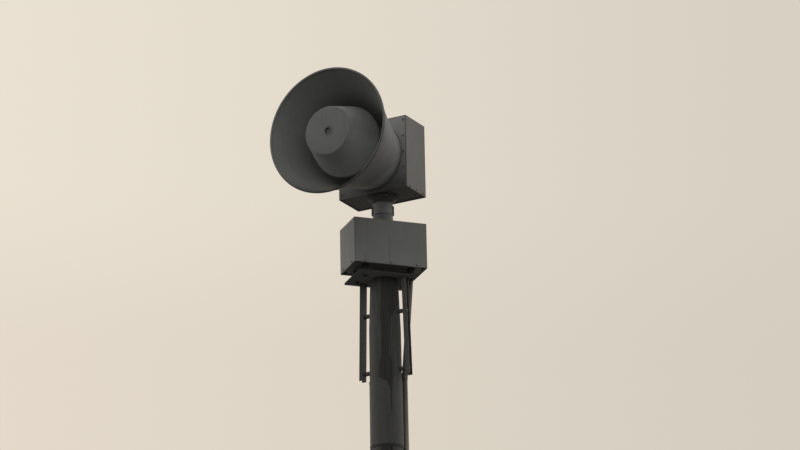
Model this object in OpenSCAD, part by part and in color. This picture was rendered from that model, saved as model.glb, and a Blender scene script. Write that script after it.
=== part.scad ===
// Warning siren on a wooden pole: a horn that turns on a drive box, held by a plate on two channel legs.
// Millimetres, +Z up, origin at the centre of the pole where it meets the ground.
// The horn points along -Y at rest. The drive box and its plate stand turned from it.

/* [Pole] */
// Height of the pole top above the ground
pole_h = 13100; // [9000:50:16000]
// Diameter of the pole at the ground
pole_foot_d = 330; // [280:1:420]
// Diameter of the pole below its trimmed top
pole_shoulder_d = 222; // [200:1:250]
// Diameter of the pole top
pole_top_d = 196; // [160:1:200]
// Length of the trimmed top
pole_trim_h = 360; // [100:5:600]
// Sheet thickness of the wrap round the pole
wrap_t = 2; // [1:0.5:5]
// Height of the wrap
wrap_h = 490; // [200:5:800]
// Distance from the legs' lower end down to the wrap
wrap_gap = 30; // [10:5:490]

/* [Mount] */
// Length of the mount plate
plate_l = 428; // [400:1:520]
// Width of the mount plate
plate_w = 322; // [300:1:400]
// Distance of the plate's middle from the pole axis, away from the conduit
plate_shift = 24; // [0:1:40]
// Thickness of the mount plate
plate_t = 12; // [6:1:20]
// Length of the channel legs
leg_len = 710; // [600:5:900]
// Width of a leg's web, the side that faces the pole
leg_w = 51; // [45:1:60]
// Width of each flange of a leg, from the web's inner face
leg_flange = 31; // [25:1:45]
// Thickness of a leg's web and flanges
leg_t = 6.4; // [4:0.1:10]
// Distance from the pole axis to the inner face of a leg at the plate
leg_reach = 144; // [138:1:150]
// Lean of the legs away from the pole, in degrees
leg_splay = 1.4; // [0:0.1:2]
// Turn of the line of the legs about the pole, in degrees
legs_turn = 4; // [-10:1:10]
// Diameter of the spacers between legs and pole
spacer_d = 30; // [16:1:40]
// Distance from the plate down to the upper spacers
upper_spacer_drop = 242; // [100:1:350]
// Distance from the legs' lower end up to the lower spacers
lower_spacer_rise = 49; // [40:1:150]

/* [Drive box] */
// Turn of the drive box and plate about the pole, in degrees
drive_turn = 49; // [40:1:60]
// Length of the drive box
drive_l = 535; // [500:1:600]
// Width of the drive box
drive_w = 312; // [280:1:340]
// Height of the drive box
drive_h = 326; // [250:1:400]
// Gap between the plate and the drive box
drive_gap = 58; // [40:1:90]
// Diameter of the feet under the drive box
foot_d = 36; // [20:1:50]
// Distance of the feet along the box
foot_span_l = 340; // [300:1:380]
// Distance of the feet across the box
foot_span_w = 166; // [140:1:190]
// Outer diameter of the bearing on the drive box
bearing_d = 142; // [130:1:150]
// Height of the bearing
bearing_h = 80; // [60:1:100]

/* [Neck] */
// Outer diameter of the pipe that turns in the bearing
pipe_d = 114.3; // [100:0.1:116]
// Wall of the pipe
pipe_t = 6; // [4:0.5:10]
// Outer diameter of the clamp collar
collar_d = 142; // [130:1:160]
// Height of the clamp collar
collar_h = 84; // [70:1:100]
// Distance over the clamp collar's two ears
ears_w = 158; // [156:1:190]
// Height of the clamp collar's ears
ear_h = 58; // [30:1:64]
// Diameter of the flange under the head
flange_d = 220; // [180:1:240]
// Height of the flared flange
flange_h = 52; // [40:1:70]

/* [Head] */
// Width of the head housing
head_w = 546; // [520:1:640]
// Depth of the head housing
head_d = 279; // [240:1:360]
// Height of the head housing
head_h = 530; // [520:1:640]
// Sheet thickness of the housings
sheet_t = 3; // [2:0.5:5]
// Bend radius of the housings' edges
bend_r = 8; // [6:0.5:14]

/* [Horn] */
// Outer diameter of the mouth
mouth_d = 914; // [860:2:960]
// Distance from the head housing to the mouth
horn_len = 638; // [560:2:720]
// Outer diameter of the bell at the head housing
bell_rear_d = 468; // [440:2:484]
// Wall of the bell
bell_t = 5; // [3:0.5:8]
// Share of the flare that opens towards the mouth
bell_flare = 0.25; // [0:0.05:0.5]
// Diameter of the rolled rim
rim_d = 14; // [10:1:20]
// Distance from the mouth back to the face of the inner cone
cone_inset = 14; // [0:1:60]
// Diameter of the flat face of the inner cone
cone_face_d = 354; // [320:2:400]
// Largest diameter of the inner cone
cone_max_d = 514; // [480:2:540]
// Distance from the face to the cone's largest diameter
cone_len = 255; // [200:5:300]
// Diameter of the stem that carries the inner cone
stem_d = 280; // [240:2:320]
// Diameter of the hole in the middle of the face
face_hole_d = 40; // [20:1:60]

/* [Conduit] */
// Outer diameter of the conduit
conduit_d = 38.4; // [33:0.1:49]
// Clear distance between the conduit and the pole
conduit_off = 7; // [6:1:12]
// Distance of the conduit's upper end from the middle of the drive box
conduit_end = 199; // [190:1:220]
// Number of straps that hold the conduit
strap_count = 9; // [4:1:14]
// Height of a strap
strap_h = 22; // [14:1:40]

/* [Hidden] */
$fn = 96;

seat_gap = 0.3;
run_gap = 0.1;
turn_gap = 5;
lip_h = 8;
base_t = 8;
cut = 1;

lower_spacer_drop = leg_len - lower_spacer_rise;
wrap_drop = leg_len + wrap_gap;
plate_z = pole_h + plate_t;
drive_z = plate_z + drive_gap;
drive_base_z = drive_z + lip_h;
drive_top_z = drive_z + drive_h;
bearing_top_z = drive_top_z + bearing_h;
bearing_floor_t = 12;
collar_z = bearing_top_z + turn_gap;
flange_z = collar_z + collar_h;
head_z = flange_z + flange_h - lip_h;
horn_z = head_z + head_h / 2;

flange_rim_t = 8;
flange_neck_h = 6;
ear_d = 44;
ears_turn = 29;
ear_lift = 6;
flange_socket_h = 30;
leg_root_r = 6;
ring_t = 10;
ring_edge = 10;
cone_back_len = 190;
cone_edge_h = 16;
face_t = 6;
face_hole_depth = 60;
face_l = horn_len - cone_inset;
bell_steps = 14;
strap_t = 4;
conduit_bend_z = pole_h - wrap_drop + 50;
conduit_play = 5;
socket_t = 4;
socket_h = 30;
sleeve_t = 3;

paint = "#75736f";
paint_dark = "#5f5e5a";
steel = "#57584f";
wood = "#6d675c";
sheet_metal = "#8a8880";

// Radius of the pole at a height
function pole_r(z) =
    z > pole_h - pole_trim_h
    ? (pole_top_d + (pole_shoulder_d - pole_top_d) * (pole_h - z) / pole_trim_h) / 2
    : (pole_foot_d + (pole_shoulder_d - pole_foot_d) * z / (pole_h - pole_trim_h)) / 2;

// Outer radius of the bell at a distance from the head housing
function bell_r(l) =
    let (t = l / horn_len)
    bell_rear_d / 2 + (mouth_d - bell_rear_d) / 2 * ((1 - bell_flare) * t + bell_flare * t * t);

// Distance of the conduit's axis from the pole's axis at a height, straight along the lower taper
function conduit_r(z) =
    conduit_d / 2 + conduit_off
    + (pole_foot_d + (pole_shoulder_d - pole_foot_d) * z / (pole_h - pole_trim_h)) / 2;

// Rectangle with round corners, centred
module round_rect(l, w, r) {
    square([l - 2 * r, w], center = true);
    square([l, w - 2 * r], center = true);
    for (x = [-1, 1], y = [-1, 1])
        translate([x * (l / 2 - r), y * (w / 2 - r)])
            circle(r);
}

// Places a shape in the frame of the turned drive box
module drive_frame(z) {
    rotate([0, 0, drive_turn])
        translate([0, 0, z])
            children();
}

// Places a shape made along +Z on the front of the head, pointing out along the horn
module horn_frame(l) {
    translate([0, -head_d / 2 - l, horn_z])
        rotate([90, 0, 0])
            children();
}

// The pole's outline of revolution, grown on its side by a clearance
module pole_form(grow) {
    rotate_extrude()
        polygon([
            [0, 0],
            [pole_foot_d / 2 + grow, 0],
            [pole_shoulder_d / 2 + grow, pole_h - pole_trim_h],
            [pole_top_d / 2 + grow, pole_h],
            [0, pole_h]
        ]);
}

module pole() {
    color(wood) pole_form(0);
}

// Thin sheet wrapped round the pole below the mount
module pole_wrap() {
    top = pole_h - wrap_drop;
    bottom = top - wrap_h;
    color(sheet_metal)
        rotate_extrude()
            polygon([
                [pole_r(bottom) + seat_gap, bottom],
                [pole_r(bottom) + seat_gap + wrap_t, bottom],
                [pole_r(top) + seat_gap + wrap_t, top],
                [pole_r(top) + seat_gap, top]
            ]);
}

// Plate on the pole top that carries the drive box and the legs
module mount_plate() {
    color(steel)
        difference() {
            drive_frame(pole_h)
                translate([-plate_shift, 0, 0])
                    linear_extrude(plate_t)
                        round_rect(plate_l, plate_w, bend_r);
            conduit_upper_run(conduit_d + 2 * conduit_play);
        }
}

// Distance from the pole axis to the inner face of a leg at a drop below the plate
function leg_face(drop) = leg_reach + drop * tan(leg_splay);

// Channel leg under the plate, on the +1 or -1 side of the pole, cut flat against the plate
module leg(side) {
    color(steel)
        rotate([0, 0, legs_turn])
            mirror([side < 0 ? 1 : 0, 0, 0])
                difference() {
                    translate([leg_face(0), 0, pole_h])
                        rotate([0, 180 - leg_splay, 0])
                            translate([0, 0, -leg_w])
                                mirror([1, 0, 0])
                                    linear_extrude(leg_len + leg_w)
                                        leg_section();
                    translate([0, -leg_w, pole_h])
                        cube([leg_reach + 3 * leg_w, 2 * leg_w, 2 * leg_w]);
                }
}

// Section of a leg: its web faces the pole, its two flanges run out from it
module leg_section() {
    translate([0, -leg_w / 2])
        square([leg_t, leg_w]);
    for (side = [0, 1])
        mirror([0, side])
            leg_flange_section();
}

module leg_flange_section() {
    translate([0, leg_w / 2 - leg_t])
        square([leg_flange, leg_t]);
    translate([leg_t, leg_w / 2 - leg_t - leg_root_r])
        difference() {
            square(leg_root_r);
            translate([leg_root_r, 0])
                circle(leg_root_r);
        }
}

// Spacer on a through bolt between a leg and the pole, cut to the pole's round side
module leg_spacer(side, drop) {
    z = pole_h - drop;
    inner = pole_r(z) - spacer_d / 2;
    spacer_play = spacer_d / 2 * tan(leg_splay) + run_gap;
    color(steel)
        difference() {
            rotate([0, 0, legs_turn])
                mirror([side < 0 ? 1 : 0, 0, 0])
                    translate([inner, 0, z])
                        rotate([0, 90, 0])
                            cylinder(d = spacer_d, h = leg_face(drop) - spacer_play - inner);
            pole_form(seat_gap);
        }
}

// Foot between the plate and the base of the drive box
module drive_foot(x_side, y_side) {
    color(steel)
        drive_frame(plate_z)
            translate([x_side * foot_span_l / 2, y_side * foot_span_w / 2, 0])
                cylinder(d = foot_d, h = drive_base_z - plate_z);
}

// Base of the drive box, set up inside the lip of its cover
module drive_base() {
    inset = sheet_t + seat_gap;
    color(paint_dark)
        drive_frame(drive_base_z)
            linear_extrude(base_t)
                round_rect(drive_l - 2 * inset, drive_w - 2 * inset, bend_r - sheet_t);
}

// Sheet cover of the drive box, open underneath
module drive_cover() {
    color(paint)
        drive_frame(drive_z)
            difference() {
                linear_extrude(drive_h)
                    round_rect(drive_l, drive_w, bend_r);
                translate([0, 0, -cut])
                    linear_extrude(drive_h - sheet_t + cut)
                        round_rect(drive_l - 2 * sheet_t, drive_w - 2 * sheet_t, bend_r - sheet_t);
            }
}

// Bearing on the drive box with a blind bore for the neck pipe
module bearing() {
    color(paint_dark)
        translate([0, 0, drive_top_z + run_gap])
            difference() {
                cylinder(d = bearing_d, h = bearing_h - run_gap);
                translate([0, 0, bearing_floor_t - run_gap])
                    cylinder(d = pipe_d + 2 * run_gap, h = bearing_h);
            }
}

// Round bar between two points, with its seam a quarter turn from the way it leans
module round_bar(from, to, d) {
    run = to - from;
    translate(from)
        rotate([0, acos(run.z / norm(run)), atan2(run.y, run.x)])
            rotate([0, 0, 90])
                cylinder(d = d, h = norm(run));
}

// Point on the conduit's lower run at a height, in the upright plane along the drive box
function conduit_at(z) = [conduit_r(z), 0, z];

// Straight bar along the conduit's upper run, from its bend above the wrap to the drive box
module conduit_upper_run(d) {
    rotate([0, 0, drive_turn])
        round_bar(conduit_at(conduit_bend_z), [conduit_end, 0, drive_base_z - socket_h / 2], d);
}

// Conduit down the side of the pole. A sleeve turns it out above the wrap, to a socket under the drive box
module riser_conduit() {
    bend = conduit_at(conduit_bend_z);
    run = [conduit_end, 0, drive_base_z - socket_h / 2] - bend;
    half_sleeve = 0.6 * conduit_d * run / norm(run);
    color(steel)
        difference() {
            union() {
                rotate([0, 0, drive_turn]) {
                    round_bar(conduit_at(-conduit_d), bend, conduit_d);
                    round_bar(bend - half_sleeve, bend + half_sleeve, conduit_d + 2 * sleeve_t);
                    translate([conduit_end, 0, drive_base_z - socket_h])
                        cylinder(d = conduit_d + 2 * socket_t, h = socket_h - seat_gap);
                }
                conduit_upper_run(conduit_d);
            }
            translate([0, 0, -pole_foot_d])
                cylinder(d = 3 * pole_foot_d, h = pole_foot_d);
        }
}

// Straps round the conduit, each with a stub that meets the pole
module conduit_straps() {
    step = (pole_h - wrap_drop - wrap_h) / (strap_count + 0.5);
    for (i = [1 : strap_count])
        conduit_strap(i * step);
}

module conduit_strap(z) {
    stub_w = conduit_d;
    color(steel)
        rotate([0, 0, drive_turn])
            difference() {
                translate([0, 0, z]) {
                    translate([conduit_r(z), 0, 0])
                        cylinder(d = conduit_d + 2 * strap_t, h = strap_h);
                    translate([pole_r(z) - strap_t, -stub_w / 2, 0])
                        cube([conduit_r(z) - pole_r(z) + strap_t, stub_w, strap_h]);
                }
                round_bar(conduit_at(z - strap_h), conduit_at(z + 2 * strap_h), conduit_d + 2 * seat_gap);
                pole_form(seat_gap);
            }
}

// Pipe that turns in the bearing and carries the head
module neck_pipe() {
    bottom = drive_top_z + bearing_floor_t + seat_gap;
    top = flange_z + flange_socket_h;
    color(paint_dark)
        translate([0, 0, bottom])
            difference() {
                cylinder(d = pipe_d, h = top - bottom);
                translate([0, 0, -cut])
                    cylinder(d = pipe_d - 2 * pipe_t, h = top - bottom + 2 * cut);
            }
}

// Clamp collar round the neck pipe, just above the bearing, with an ear on each side
module neck_collar() {
    chamfer = 4;
    color(paint)
        translate([0, 0, collar_z])
            difference() {
                union() {
                    rotate_extrude()
                        polygon([
                            [0, 0],
                            [collar_d / 2, 0],
                            [collar_d / 2, collar_h - chamfer],
                            [collar_d / 2 - chamfer, collar_h],
                            [0, collar_h]
                        ]);
                    rotate([0, 0, ears_turn])
                        translate([-ears_w / 2, -ear_d / 2, ear_lift])
                            cube([ears_w, ear_d, ear_h]);
                }
                translate([0, 0, -cut])
                    cylinder(d = pipe_d + 2 * run_gap, h = collar_h + 2 * cut);
            }
}

// Flared flange that spreads as a cone from the collar out to the head's base
module neck_flange() {
    socket_r = pipe_d / 2 + run_gap;
    low_r = collar_d / 2 - 4;
    color(paint_dark)
        translate([0, 0, flange_z])
            rotate_extrude()
                polygon([
                    [socket_r, 0],
                    [low_r, 0],
                    [low_r, flange_neck_h],
                    [flange_d / 2, flange_h - flange_rim_t],
                    [flange_d / 2, flange_h],
                    [0, flange_h],
                    [0, flange_socket_h + seat_gap],
                    [socket_r, flange_socket_h + seat_gap]
                ]);
}

// Sheet shell of the head: top, sides and back, open at the front and underneath
module head_shell() {
    color(paint)
        translate([0, 0, head_z])
            difference() {
                linear_extrude(head_h)
                    round_rect(head_w, head_d, bend_r);
                translate([0, 0, -cut])
                    linear_extrude(head_h - sheet_t + cut)
                        round_rect(head_w - 2 * sheet_t, head_d - 2 * sheet_t, bend_r - sheet_t);
                translate([-head_w / 2 + bend_r, -head_d / 2 - cut, -cut])
                    cube([head_w - 2 * bend_r, 2 * sheet_t + cut, head_h - bend_r + cut]);
            }
}

// Front panel of the head, set in the shell's opening
module head_front() {
    w = head_w - 2 * bend_r - 2 * seat_gap;
    h = head_h - bend_r - seat_gap;
    color(paint)
        translate([-w / 2, -head_d / 2, head_z])
            cube([w, sheet_t, h]);
}

// Base of the head, set up inside the lip of the shell
module head_base() {
    inset = sheet_t + seat_gap;
    color(paint_dark)
        translate([0, 0, head_z + lip_h])
            linear_extrude(base_t)
                round_rect(head_w - 2 * inset, head_d - 2 * inset, bend_r - sheet_t);
}

// Ring that joins the bell to the front panel
module throat_ring() {
    color(paint_dark)
        horn_frame(0)
            difference() {
                cylinder(d = bell_rear_d + 2 * ring_edge, h = ring_t);
                translate([0, 0, -cut])
                    cylinder(d = bell_rear_d - 2 * bell_t - 2 * ring_edge, h = ring_t + 2 * cut);
            }
}

// Bell of the horn: a flared shell of revolution with a rolled rim at the mouth
module horn_bell() {
    rim_r = rim_d / 2;
    front = horn_len - rim_r;
    span = front - ring_t;
    levels = [for (i = [0 : bell_steps]) ring_t + span * i / bell_steps];
    shell = concat(
        [for (l = levels) [bell_r(l), l]],
        [for (i = [bell_steps : -1 : 0]) [bell_r(levels[i]) - bell_t, levels[i]]]
    );
    color(paint)
        horn_frame(0)
            rotate_extrude() {
                polygon(shell);
                translate([mouth_d / 2 - rim_r, front])
                    circle(rim_r);
            }
}

// Stem from the front panel to the back of the inner cone
module throat_stem() {
    color(paint_dark)
        horn_frame(0)
            cylinder(d = stem_d, h = face_l - cone_len - cone_back_len);
}

// Closed inner cone: it opens back from its flat face, then closes in to the stem
module inner_cone() {
    back = face_l - cone_len - cone_back_len;
    wide = face_l - cone_len;
    color(paint)
        horn_frame(0)
            difference() {
                rotate_extrude()
                    polygon([
                        [0, back],
                        [stem_d / 2, back],
                        [cone_max_d / 2, wide - cone_edge_h],
                        [cone_max_d / 2, wide],
                        [cone_face_d / 2, face_l - face_t],
                        [0, face_l - face_t]
                    ]);
                translate([0, 0, face_l - face_hole_depth])
                    cylinder(d = face_hole_d, h = face_hole_depth);
            }
}

// Flat face of the inner cone with its middle hole
module cone_face() {
    color(paint)
        horn_frame(face_l - face_t)
            difference() {
                cylinder(d = cone_face_d, h = face_t);
                translate([0, 0, -cut])
                    cylinder(d = face_hole_d, h = face_t + 2 * cut);
            }
}

pole();
pole_wrap();
mount_plate();
leg(-1);  // leg_left
leg(1);  // leg_right
leg_spacer(-1, upper_spacer_drop);  // spacer_upper_left
leg_spacer(1, upper_spacer_drop);  // spacer_upper_right
leg_spacer(-1, lower_spacer_drop);  // spacer_lower_left
leg_spacer(1, lower_spacer_drop);  // spacer_lower_right
drive_foot(-1, -1);  // foot_front_left
drive_foot(1, -1);  // foot_front_right
drive_foot(-1, 1);  // foot_back_left
drive_foot(1, 1);  // foot_back_right
drive_base();
drive_cover();
bearing();
riser_conduit();
conduit_straps();
neck_pipe();
neck_collar();
neck_flange();
head_shell();
head_front();
head_base();
throat_ring();
horn_bell();
throat_stem();
inner_cone();
cone_face();
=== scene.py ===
"""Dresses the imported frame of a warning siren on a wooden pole.

Metres, +Z up, origin at the pole's foot. The horn points along -Y at rest.
"""
import math

import bmesh
import bpy
import numpy as np
from mathutils import Matrix, Vector


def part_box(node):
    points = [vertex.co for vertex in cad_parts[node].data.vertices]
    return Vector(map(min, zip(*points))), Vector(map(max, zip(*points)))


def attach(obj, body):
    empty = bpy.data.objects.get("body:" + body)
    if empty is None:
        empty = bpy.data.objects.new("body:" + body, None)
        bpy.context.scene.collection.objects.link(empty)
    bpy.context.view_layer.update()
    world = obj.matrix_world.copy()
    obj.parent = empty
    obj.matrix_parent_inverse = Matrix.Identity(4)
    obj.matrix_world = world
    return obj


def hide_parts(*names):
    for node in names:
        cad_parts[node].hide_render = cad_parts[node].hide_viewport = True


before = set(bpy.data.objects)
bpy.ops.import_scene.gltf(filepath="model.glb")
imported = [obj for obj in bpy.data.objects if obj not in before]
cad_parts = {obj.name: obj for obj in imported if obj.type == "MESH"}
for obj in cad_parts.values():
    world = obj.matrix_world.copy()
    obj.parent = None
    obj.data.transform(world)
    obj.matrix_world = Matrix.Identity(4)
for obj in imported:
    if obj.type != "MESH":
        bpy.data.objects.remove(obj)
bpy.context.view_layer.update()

rng = np.random.default_rng(417)

# Sizes that the frame gives
POLE_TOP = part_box("pole")[1][2]
POLE_FOOT_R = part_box("pole")[1][0]
WRAP_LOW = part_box("pole_wrap")[0][2]
WRAP_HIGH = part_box("pole_wrap")[1][2]
PLATE_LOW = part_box("mount_plate")[0][2]
PLATE_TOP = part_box("mount_plate")[1][2]
LEG_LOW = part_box("leg_right")[0][2]
DRIVE_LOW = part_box("drive_cover")[0][2]
DRIVE_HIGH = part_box("drive_cover")[1][2]
DRIVE_BASE_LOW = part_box("drive_base")[0][2]
COLLAR_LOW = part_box("neck_collar")[0][2]
FLANGE_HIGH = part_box("neck_flange")[1][2]
FLANGE_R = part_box("neck_flange")[1][0]
HEAD_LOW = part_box("head_shell")[0]
HEAD_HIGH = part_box("head_shell")[1]
HORN_Z = (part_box("horn_bell")[0][2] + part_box("horn_bell")[1][2]) / 2
MOUTH_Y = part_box("horn_bell")[0][1]
MOUTH_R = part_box("horn_bell")[1][0]
FRONT_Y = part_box("throat_ring")[1][1]
RING_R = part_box("throat_ring")[1][0]
FACE_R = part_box("cone_face")[1][0]
CONE_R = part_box("inner_cone")[1][0]
STEM_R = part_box("throat_stem")[1][0]
STEM_FRONT_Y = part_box("throat_stem")[0][1]

# Sizes that the part's source gives, which no node's box shows
SHOULDER_R = 0.111
TOP_R = 0.098
TRIM_H = 0.36
DRIVE_TURN = math.radians(49)
DRIVE_L = 0.535
DRIVE_W = 0.312
FOOT_L = 0.340
FOOT_W = 0.166
LEGS_TURN = math.radians(4)
LEG_REACH = 0.144
LEG_SPLAY = math.radians(1.4)
LEG_T = 0.0064
LEG_W = 0.051
LEG_FLANGE = 0.031
UPPER_SPACER = 0.242
LOWER_SPACER_RISE = 0.049
CONDUIT_R = 0.0192
CONDUIT_OFF = 0.007
BELL_REAR_R = 0.234
BELL_T = 0.005
BELL_FLARE = 0.25
RIM_R = 0.007
EARS_TURN = math.radians(29)
EARS_HALF = 0.079
EAR_MIDDLE = 0.035
RING_T = 0.010
CONE_LEN = 0.255
CONE_EDGE = 0.016
HOLE_R = 0.020
HOLE_DEPTH = 0.060
HORN_LEN = FRONT_Y - MOUTH_Y
FACE_L = FRONT_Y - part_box("cone_face")[0][1]

# Flats, washer radius and columns of the small screws that hold the sheet housings
SHEET_SCREW = (0.010, 0.008, 18)

# Camera of the photograph: it stands low in front of the pole, to the right, and looks up
CAMERA_TURN = math.radians(28.8)
CAMERA_RISE = math.radians(19.92)
CAMERA_ROLL = math.radians(-1.14)
CAMERA_AWAY = 35.2
METRES_PER_PIXEL = 0.006995
PHOTO_W = 800
PHOTO_H = 450
AIM_Z = 13.6
AIM_PIXEL = (382.8, 213.5)

# Light of the sky: its level, how much more comes from behind the siren, and how much less from overhead
SKY_LEVEL = 1.80
SKY_BEHIND = 1.25
SKY_FALL = 0.25
GROUND_LIGHT = 0.12

# Tones of the sky that shows
SKY_HIGH_LEFT = (0.822, 0.752, 0.642, 1)
SKY_HIGH_RIGHT = (0.680, 0.626, 0.538, 1)
SKY_LOW_LEFT = (0.776, 0.694, 0.594, 1)
SKY_LOW_RIGHT = (0.662, 0.612, 0.525, 1)

# Tones of the finishes
PAINT = 0.165
CHIP_RUST = (0.115, 0.072, 0.045, 1)
SPECK_RUST = (0.060, 0.043, 0.030, 1)
STEEL_RUST = (0.085, 0.046, 0.026, 1)
BOLT_RUST = (0.070, 0.040, 0.024, 1)
PIPE_RUST = (0.080, 0.050, 0.031, 1)
PIPE_DARK = (0.105, 0.095, 0.080, 1)
PIPE_PALE = (0.170, 0.156, 0.134, 1)
WOOD_BROWN = (0.060, 0.045, 0.032, 1)
WOOD_DAMP = (0.030, 0.026, 0.018, 1)


class Socket:
    """A node's output. Arithmetic on it adds Math nodes to its tree."""

    def __init__(self, tree, output):
        self.tree = tree
        self.output = output

    def math(self, operation, first, second=0.0):
        return self.tree.node("ShaderNodeMath", {"operation": operation}, {0: first, 1: second})

    def __add__(self, other):
        return self.math("ADD", self, other)

    def __radd__(self, other):
        return self.math("ADD", other, self)

    def __sub__(self, other):
        return self.math("SUBTRACT", self, other)

    def __rsub__(self, other):
        return self.math("SUBTRACT", other, self)

    def __mul__(self, other):
        return self.math("MULTIPLY", self, other)

    def __rmul__(self, other):
        return self.math("MULTIPLY", other, self)

    def __truediv__(self, other):
        return self.math("DIVIDE", self, other)

    def __abs__(self):
        return self.math("ABSOLUTE", self)

    def least(self, other):
        return self.math("MINIMUM", self, other)

    def most(self, other):
        return self.math("MAXIMUM", self, other)


class Finish:
    """The node tree of one material or of the world."""

    def __init__(self, owner):
        owner.use_nodes = True
        self.owner = owner
        self.tree = owner.node_tree
        self.tree.nodes.clear()

    def node(self, kind, settings=None, sockets=None, output=0):
        """Adds a node, sets its settings, then its sockets' values or links, and gives one output."""
        made = self.tree.nodes.new(kind)
        for key, value in (settings or {}).items():
            setattr(made, key, value)
        for key, value in (sockets or {}).items():
            if isinstance(value, Socket):
                self.tree.links.new(value.output, made.inputs[key])
            else:
                made.inputs[key].default_value = value
        return Socket(self, made.outputs[output]) if made.outputs else None

    def place(self):
        return self.node("ShaderNodeTexCoord", output="Object")

    def kept(self, name):
        """Numbers that a piece keeps at its points."""
        return self.node("ShaderNodeAttribute", {"attribute_name": name}, None, "Fac")

    def stretched(self, place, scale, turn=0.0):
        """The place turned about Z, then scaled along each axis."""
        point = {"vector_type": "POINT"}
        spun = self.node("ShaderNodeMapping", point, {0: place, "Rotation": (0, 0, turn)})
        return self.node("ShaderNodeMapping", point, {0: spun, "Scale": scale})

    def axis(self, place, letter):
        return self.node("ShaderNodeSeparateXYZ", None, {0: place}, letter)

    def noise(self, place, scale, detail=3.0, rough=0.55):
        sockets = {"Vector": place, "Scale": scale, "Detail": detail, "Roughness": rough}
        return self.node("ShaderNodeTexNoise", None, sockets, 0)

    def cells(self, place, scale):
        return self.node("ShaderNodeTexVoronoi", None, {"Vector": place, "Scale": scale}, "Color")

    def step(self, value, low, high):
        """0 below low, 1 above high and smooth between; low above high turns it round."""
        sockets = {0: value, 1: low, 2: high, 3: 0.0, 4: 1.0}
        return self.node("ShaderNodeMapRange", {"interpolation_type": "SMOOTHSTEP"}, sockets)

    def tint(self, mask, first, second):
        """Colour that goes from the first to the second as the mask goes from 0 to 1."""
        sockets = {0: mask, 6: first, 7: second}
        return self.node("ShaderNodeMix", {"data_type": "RGBA"}, sockets, 2)

    def scaled(self, colour, share):
        """The colour times a share."""
        return self.node("ShaderNodeVectorMath", {"operation": "SCALE"}, {0: colour, "Scale": share})

    def along(self, direction, vector):
        """How far a direction points along a fixed vector."""
        sockets = {0: direction, 1: vector}
        return self.node("ShaderNodeVectorMath", {"operation": "DOT_PRODUCT"}, sockets, "Value")

    def upward(self):
        """The Z part of the surface's normal."""
        normal = self.node("ShaderNodeNewGeometry", output="Normal")
        return self.axis(normal, "Z")

    def bump(self, height, strength, distance):
        sockets = {"Height": height, "Strength": strength, "Distance": distance}
        return self.node("ShaderNodeBump", None, sockets)

    def surface(self, colour, rough, relief, specular, metal=0.0):
        """Ends the tree in one Principled shader."""
        sockets = {"Base Color": colour, "Roughness": rough, "Normal": relief, "Metallic": metal}
        sockets["Specular IOR Level"] = specular
        shader = self.node("ShaderNodeBsdfPrincipled", None, sockets)
        self.node("ShaderNodeOutputMaterial", None, {"Surface": shader})
        return self.owner


def grey(level, warm=0.0):
    """A grey as RGBA; warm lifts red and lowers blue by that share."""
    return (level * (1 + warm), level, level * (1 - 1.6 * warm), 1.0)


def new_finish(name):
    return Finish(bpy.data.materials.new(name))


def rain_runs(finish, place, up):
    """Dark and pale runs down the steep faces: noise squeezed across and drawn out along Z."""
    runs = finish.noise(finish.stretched(place, (34, 34, 1.4)), 1.0, 4.0)
    steep = finish.step(abs(up), 0.7, 0.3)
    dark = finish.step(runs, 0.56, 0.74) * steep
    pale = finish.step(runs, 0.40, 0.27) * steep
    return dark, pale


def worn_box(finish, place, box, end, blots, colour):
    """The colour of a painted box with rust chips along its outer edges and painted shade on its far end.

    Length and width are shares of the half sizes in the box's own turned axes: both are 1 at an upright
    edge, and either is along the top and foot. End is the share of the tone that is left at length -1.
    """
    top_wear = 0.014
    foot_wear = 0.020
    half_l, half_w, low, high, turn = box
    own = finish.stretched(place, (1, 1, 1), -turn)
    length = finish.axis(own, "X") / half_l
    width = finish.axis(own, "Y") / half_w
    height = finish.axis(own, "Z")
    upright = finish.step(abs(length).least(abs(width)), 0.94, 1.0)
    rim = finish.step(abs(length).most(abs(width)), 0.95, 1.0)
    top = finish.step(height, high - top_wear, high)
    foot = finish.step(height, low + foot_wear, low)
    edge = upright.most(rim * top.most(foot))
    chipped = edge * finish.step(blots, 0.44, 0.62)
    colour = finish.tint(0.40 * chipped, colour, CHIP_RUST)
    # Painted shade: the tone falls to the end share near length -1.
    return finish.scaled(colour, 1 + (end - 1) * finish.step(length, -0.982, -0.998))


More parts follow.
